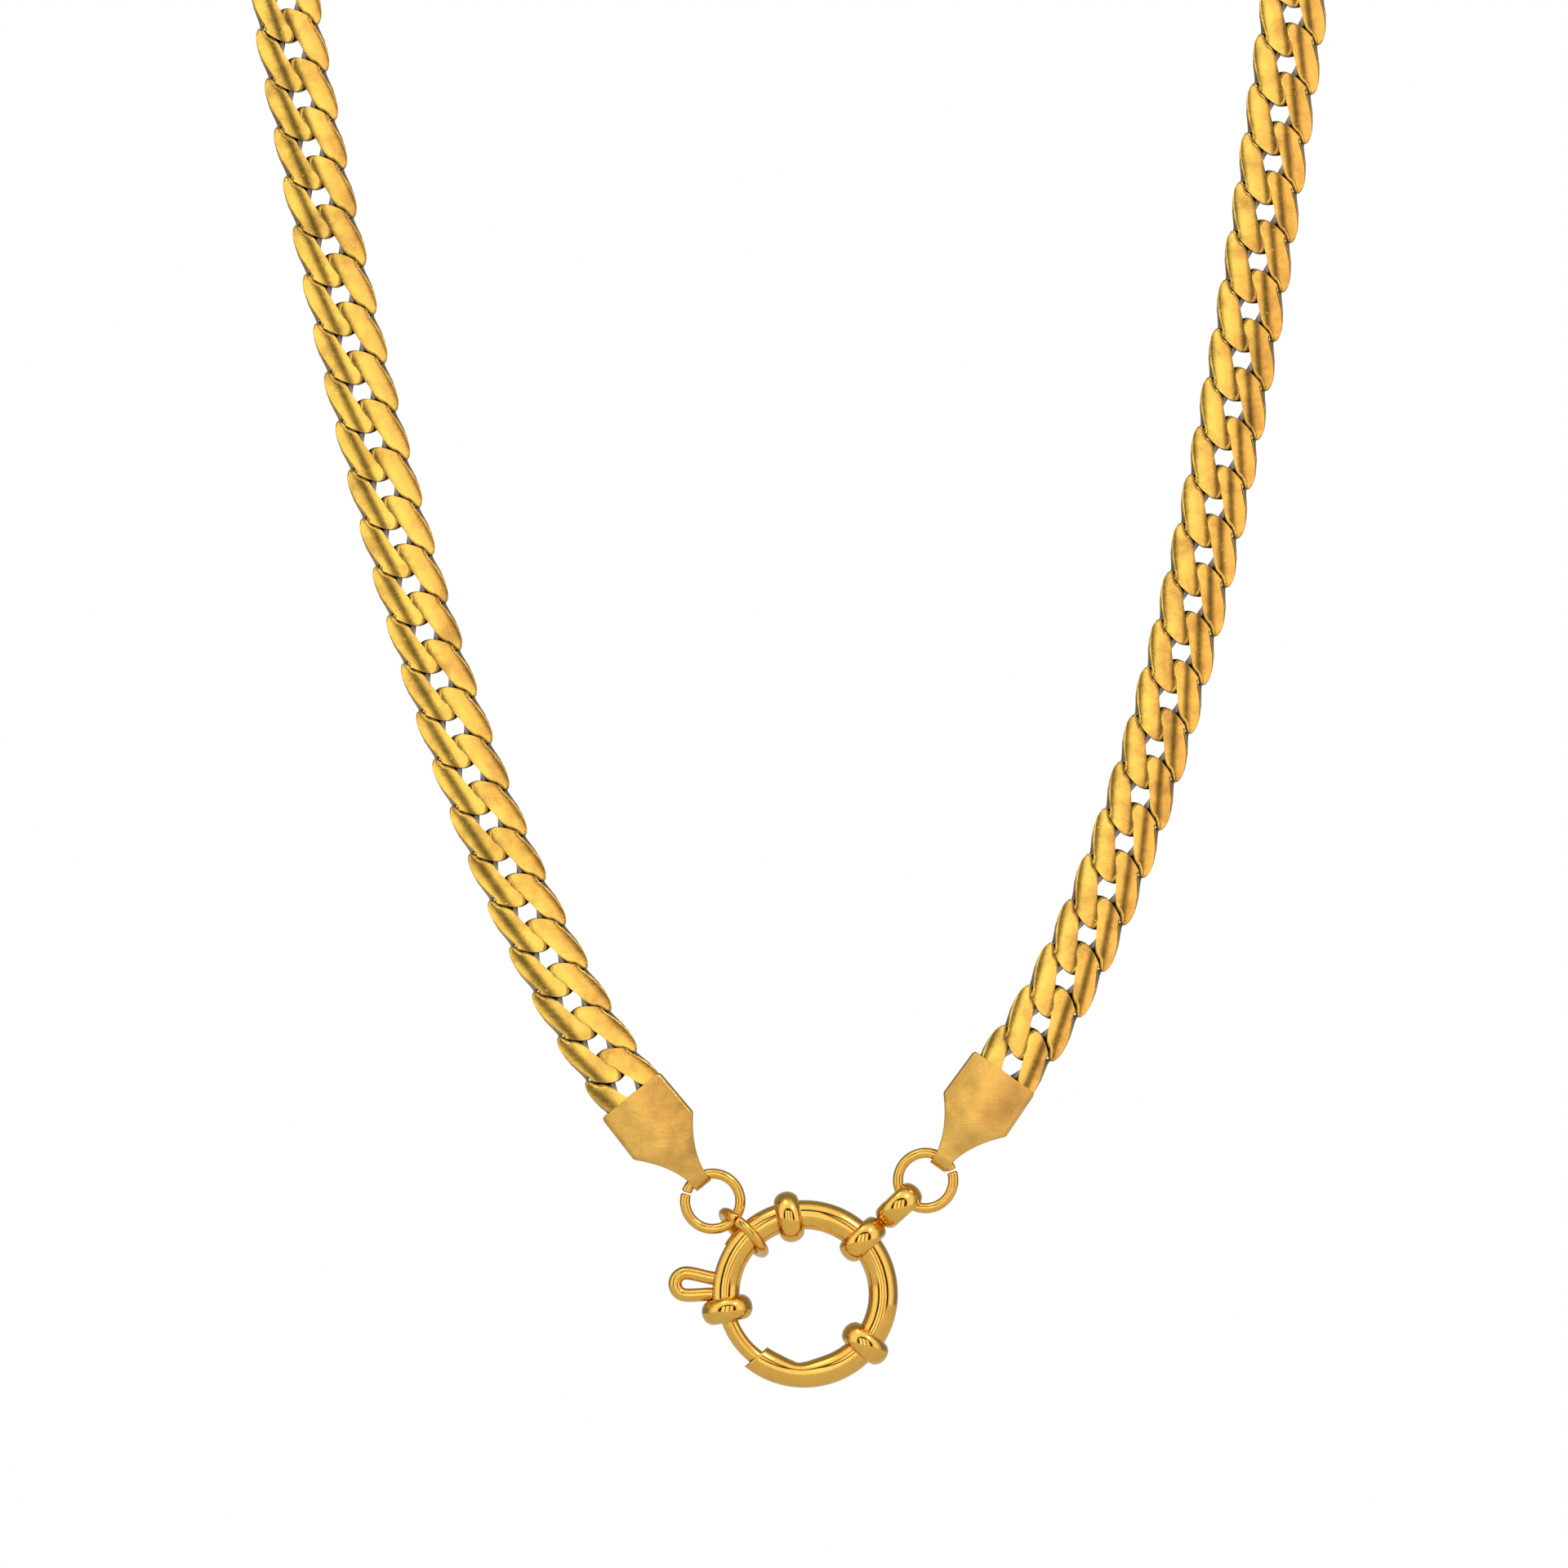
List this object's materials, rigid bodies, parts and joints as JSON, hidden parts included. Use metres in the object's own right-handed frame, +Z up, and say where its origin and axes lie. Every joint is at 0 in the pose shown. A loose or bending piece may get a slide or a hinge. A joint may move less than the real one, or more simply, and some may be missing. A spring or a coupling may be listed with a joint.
{
  "type": "chain necklace",
  "caption": "Short necklace of heavy flat curb links with folded end caps, jump rings and a large round sailor clasp with beads.",
  "frame": {"origin": "middle of the nape, where the inner edge of the nape link rests on the neck", "axes": "+X to the wearer's left, which is the right seen from the front; +Y back through the chain's thickness, so the show side faces -Y; +Z up, with the necklace hanging below the nape"},
  "size_m": [0.1038, 0.0062, 0.1969],
  "materials": {
    "chain_gold": "gold plate, flat faces satin with a fine grain, edges bright",
    "cap_gold": "gold plate, satin folded sheet",
    "ring_gold": "gold plate, polished wire",
    "clasp_gold": "gold plate, polished tube and beads",
    "spring_steel": "drawn spring wire"
  },
  "bodies": {
    "nape": {"nape_link": "chain_gold"},
    "pair_01": {"links_01": "chain_gold"},
    "pair_02": {"links_02": "chain_gold"},
    "pair_03": {"links_03": "chain_gold"},
    "pair_04": {"links_04": "chain_gold"},
    "pair_05": {"links_05": "chain_gold"},
    "pair_06": {"links_06": "chain_gold"},
    "pair_07": {"links_07": "chain_gold"},
    "pair_08": {"links_08": "chain_gold"},
    "pair_09": {"links_09": "chain_gold"},
    "pair_10": {"links_10": "chain_gold"},
    "pair_11": {"links_11": "chain_gold"},
    "pair_12": {"links_12": "chain_gold"},
    "pair_13": {"links_13": "chain_gold"},
    "pair_14": {"links_14": "chain_gold"},
    "pair_15": {"links_15": "chain_gold"},
    "pair_16": {"links_16": "chain_gold"},
    "pair_17": {"links_17": "chain_gold"},
    "pair_18": {"links_18": "chain_gold"},
    "pair_19": {"links_19": "chain_gold"},
    "pair_20": {"links_20": "chain_gold"},
    "pair_21": {"links_21": "chain_gold"},
    "pair_22": {"links_22": "chain_gold"},
    "pair_23": {"links_23": "chain_gold"},
    "pair_24": {"links_24": "chain_gold"},
    "pair_25": {"links_25": "chain_gold"},
    "pair_26": {"links_26": "chain_gold"},
    "pair_27": {"links_27": "chain_gold"},
    "pair_28": {"links_28": "chain_gold"},
    "pair_29": {"links_29": "chain_gold"},
    "pair_30": {"links_30": "chain_gold"},
    "pair_31": {"links_31": "chain_gold"},
    "pair_32": {"links_32": "chain_gold"},
    "pair_33": {"links_33": "chain_gold"},
    "pair_34": {"links_34": "chain_gold"},
    "pair_35": {"links_35": "chain_gold"},
    "pair_36": {"links_36": "chain_gold"},
    "pair_37": {"links_37": "chain_gold"},
    "pair_38": {"links_38": "chain_gold"},
    "pair_39": {"links_39": "chain_gold"},
    "pair_40": {"links_40": "chain_gold"},
    "end_caps": {"links_41": "chain_gold", "end_cap_left": "cap_gold", "end_cap_right": "cap_gold"},
    "rings": {"jump_ring_left": "ring_gold", "jump_ring_right": "ring_gold"},
    "connectors": {"clasp_jump_ring": "ring_gold", "double_link": "ring_gold"},
    "clasp": {"clasp_tube": "clasp_gold", "bead_top": "clasp_gold", "bead_left": "clasp_gold", "bead_lower": "clasp_gold", "clasp_spring": "spring_steel", "spring_stop": "spring_steel"},
    "bolt": {"clasp_bolt": "clasp_gold", "bolt_trigger": "clasp_gold"}
  },
  "joints": [
    {"name": "pair_01_bend", "type": "hinge", "parent": "nape", "child": "pair_01", "pos_m": [-0.00012, 0, 0.00332], "axis": [0.9993, 0, 0.0371], "range_deg": [-14, 14]},
    {"name": "pair_02_bend", "type": "hinge", "parent": "pair_01", "child": "pair_02", "pos_m": [-0.00011, 0, 0.00282], "axis": [0.9993, 0, 0.0371], "range_deg": [-14, 14]},
    {"name": "pair_03_bend", "type": "hinge", "parent": "pair_02", "child": "pair_03", "pos_m": [-0.00007, 0, 0.00181], "axis": [0.9993, 0, 0.037], "range_deg": [-14, 14]},
    {"name": "pair_04_bend", "type": "hinge", "parent": "pair_03", "child": "pair_04", "pos_m": [-0.00001, 0, 0.00032], "axis": [0.9993, 0, 0.0369], "range_deg": [-14, 14]},
    {"name": "pair_05_bend", "type": "hinge", "parent": "pair_04", "child": "pair_05", "pos_m": [0.00006, 0, -0.00164], "axis": [0.9993, 0, 0.0368], "range_deg": [-14, 14]},
    {"name": "pair_06_bend", "type": "hinge", "parent": "pair_05", "child": "pair_06", "pos_m": [0.00015, 0, -0.00402], "axis": [0.9993, 0, 0.0367], "range_deg": [-14, 14]},
    {"name": "pair_07_bend", "type": "hinge", "parent": "pair_06", "child": "pair_07", "pos_m": [0.00024, 0, -0.00681], "axis": [0.9993, 0, 0.0365], "range_deg": [-14, 14]},
    {"name": "pair_08_bend", "type": "hinge", "parent": "pair_07", "child": "pair_08", "pos_m": [0.00035, 0, -0.00997], "axis": [0.9993, 0, 0.0363], "range_deg": [-14, 14]},
    {"name": "pair_09_bend", "type": "hinge", "parent": "pair_08", "child": "pair_09", "pos_m": [0.00047, 0, -0.01345], "axis": [0.9993, 0, 0.0362], "range_deg": [-14, 14]},
    {"name": "pair_10_bend", "type": "hinge", "parent": "pair_09", "child": "pair_10", "pos_m": [0.0006, 0, -0.01722], "axis": [0.9994, 0, 0.036], "range_deg": [-14, 14]},
    {"name": "pair_11_bend", "type": "hinge", "parent": "pair_10", "child": "pair_11", "pos_m": [0.00073, 0, -0.02124], "axis": [-0.9994, 0, -0.0358], "range_deg": [-14, 14]},
    {"name": "pair_12_bend", "type": "hinge", "parent": "pair_11", "child": "pair_12", "pos_m": [0.00087, 0, -0.02547], "axis": [-0.9994, 0, -0.0356], "range_deg": [-14, 14]},
    {"name": "pair_13_bend", "type": "hinge", "parent": "pair_12", "child": "pair_13", "pos_m": [0.001, 0, -0.02987], "axis": [-0.9994, 0, -0.0354], "range_deg": [-14, 14]},
    {"name": "pair_14_bend", "type": "hinge", "parent": "pair_13", "child": "pair_14", "pos_m": [0.00114, 0, -0.03441], "axis": [-0.9994, 0, -0.0352], "range_deg": [-14, 14]},
    {"name": "pair_15_bend", "type": "hinge", "parent": "pair_14", "child": "pair_15", "pos_m": [0.00128, 0, -0.03905], "axis": [-0.9994, 0, -0.0351], "range_deg": [-14, 14]},
    {"name": "pair_16_bend", "type": "hinge", "parent": "pair_15", "child": "pair_16", "pos_m": [0.00141, 0, -0.04377], "axis": [-0.9994, 0, -0.035], "range_deg": [-14, 14]},
    {"name": "pair_17_bend", "type": "hinge", "parent": "pair_16", "child": "pair_17", "pos_m": [0.00154, 0, -0.04852], "axis": [-0.9994, 0, -0.0349], "range_deg": [-14, 14]},
    {"name": "pair_18_bend", "type": "hinge", "parent": "pair_17", "child": "pair_18", "pos_m": [0.00166, 0, -0.05329], "axis": [-0.9994, 0, -0.0349], "range_deg": [-14, 14]},
    {"name": "pair_19_bend", "type": "hinge", "parent": "pair_18", "child": "pair_19", "pos_m": [0.00178, 0, -0.05804], "axis": [-0.9994, 0, -0.035], "range_deg": [-14, 14]},
    {"name": "pair_20_bend", "type": "hinge", "parent": "pair_19", "child": "pair_20", "pos_m": [0.00189, 0, -0.06276], "axis": [-0.9994, 0, -0.0352], "range_deg": [-14, 14]},
    {"name": "pair_21_bend", "type": "hinge", "parent": "pair_20", "child": "pair_21", "pos_m": [0.002, 0, -0.06747], "axis": [0.9994, 0, 0.0353], "range_deg": [-14, 14]},
    {"name": "pair_22_bend", "type": "hinge", "parent": "pair_21", "child": "pair_22", "pos_m": [0.00212, 0, -0.07218], "axis": [0.9994, 0, 0.0355], "range_deg": [-14, 14]},
    {"name": "pair_23_bend", "type": "hinge", "parent": "pair_22", "child": "pair_23", "pos_m": [0.00224, 0, -0.07688], "axis": [0.9994, 0, 0.0357], "range_deg": [-14, 14]},
    {"name": "pair_24_bend", "type": "hinge", "parent": "pair_23", "child": "pair_24", "pos_m": [0.00236, 0, -0.08157], "axis": [0.9994, 0, 0.0359], "range_deg": [-14, 14]},
    {"name": "pair_25_bend", "type": "hinge", "parent": "pair_24", "child": "pair_25", "pos_m": [0.00249, 0, -0.08626], "axis": [0.9994, 0, 0.036], "range_deg": [-14, 14]},
    {"name": "pair_26_bend", "type": "hinge", "parent": "pair_25", "child": "pair_26", "pos_m": [0.00262, 0, -0.09095], "axis": [0.9993, 0, 0.0362], "range_deg": [-14, 14]},
    {"name": "pair_27_bend", "type": "hinge", "parent": "pair_26", "child": "pair_27", "pos_m": [0.00275, 0, -0.09562], "axis": [0.9993, 0, 0.0364], "range_deg": [-14, 14]},
    {"name": "pair_28_bend", "type": "hinge", "parent": "pair_27", "child": "pair_28", "pos_m": [0.00288, 0, -0.10028], "axis": [0.9993, 0, 0.0366], "range_deg": [-14, 14]},
    {"name": "pair_29_bend", "type": "hinge", "parent": "pair_28", "child": "pair_29", "pos_m": [0.00301, 0, -0.10494], "axis": [0.9993, 0, 0.0368], "range_deg": [-14, 14]},
    {"name": "pair_30_bend", "type": "hinge", "parent": "pair_29", "child": "pair_30", "pos_m": [0.00315, 0, -0.10958], "axis": [0.9993, 0, 0.037], "range_deg": [-14, 14]},
    {"name": "pair_31_bend", "type": "hinge", "parent": "pair_30", "child": "pair_31", "pos_m": [0.00329, 0, -0.1142], "axis": [-0.9993, 0, -0.0372], "range_deg": [-14, 14]},
    {"name": "pair_32_bend", "type": "hinge", "parent": "pair_31", "child": "pair_32", "pos_m": [0.00343, 0, -0.11881], "axis": [-0.9993, 0, -0.0375], "range_deg": [-14, 14]},
    {"name": "pair_33_bend", "type": "hinge", "parent": "pair_32", "child": "pair_33", "pos_m": [0.00357, 0, -0.1234], "axis": [-0.9993, 0, -0.0377], "range_deg": [-14, 14]},
    {"name": "pair_34_bend", "type": "hinge", "parent": "pair_33", "child": "pair_34", "pos_m": [0.0037, 0, -0.12796], "axis": [-0.9993, 0, -0.0381], "range_deg": [-14, 14]},
    {"name": "pair_35_bend", "type": "hinge", "parent": "pair_34", "child": "pair_35", "pos_m": [0.00384, 0, -0.13249], "axis": [-0.9993, 0, -0.0384], "range_deg": [-14, 14]},
    {"name": "pair_36_bend", "type": "hinge", "parent": "pair_35", "child": "pair_36", "pos_m": [0.00397, 0, -0.13698], "axis": [-0.9992, 0, -0.0389], "range_deg": [-14, 14]},
    {"name": "pair_37_bend", "type": "hinge", "parent": "pair_36", "child": "pair_37", "pos_m": [0.00409, 0, -0.14143], "axis": [-0.9992, 0, -0.0397], "range_deg": [-14, 14]},
    {"name": "pair_38_bend", "type": "hinge", "parent": "pair_37", "child": "pair_38", "pos_m": [0.00419, 0, -0.14581], "axis": [-0.9992, 0, -0.0408], "range_deg": [-14, 14]},
    {"name": "pair_39_bend", "type": "hinge", "parent": "pair_38", "child": "pair_39", "pos_m": [0.00428, 0, -0.15011], "axis": [-0.9991, 0, -0.0426], "range_deg": [-14, 14]},
    {"name": "pair_40_bend", "type": "hinge", "parent": "pair_39", "child": "pair_40", "pos_m": [0.00433, 0, -0.15431], "axis": [-0.999, 0, -0.0457], "range_deg": [-14, 14]},
    {"name": "end_cap_bend", "type": "hinge", "parent": "pair_40", "child": "end_caps", "pos_m": [0.00432, 0, -0.15835], "axis": [0.9987, 0, 0.0514], "range_deg": [-14, 14]},
    {"name": "ring_swing", "type": "hinge", "parent": "end_caps", "child": "rings", "pos_m": [0.00436, 0, -0.16928], "axis": [0.9964, 0, 0.0845], "range_deg": [-20, 20]},
    {"name": "connector_swing", "type": "hinge", "parent": "rings", "child": "connectors", "pos_m": [0.00433, 0, -0.17325], "axis": [-0.9923, 0, -0.1236], "range_deg": [-18, 18]},
    {"name": "clasp_swing", "type": "hinge", "parent": "connectors", "child": "clasp", "pos_m": [0.00303, 0, -0.17599], "axis": [0.9998, 0, -0.0209], "range_deg": [-8, 8]},
    {"name": "bolt_pull", "type": "hinge", "parent": "clasp", "child": "bolt", "pos_m": [0.00292, 0, -0.18128], "axis": [0, 1, 0], "range_deg": [0, 16], "stiffness_Nm_per_rad": 0.04, "springref_deg": -20.05, "deforming": ["clasp_spring"]}
  ]
}
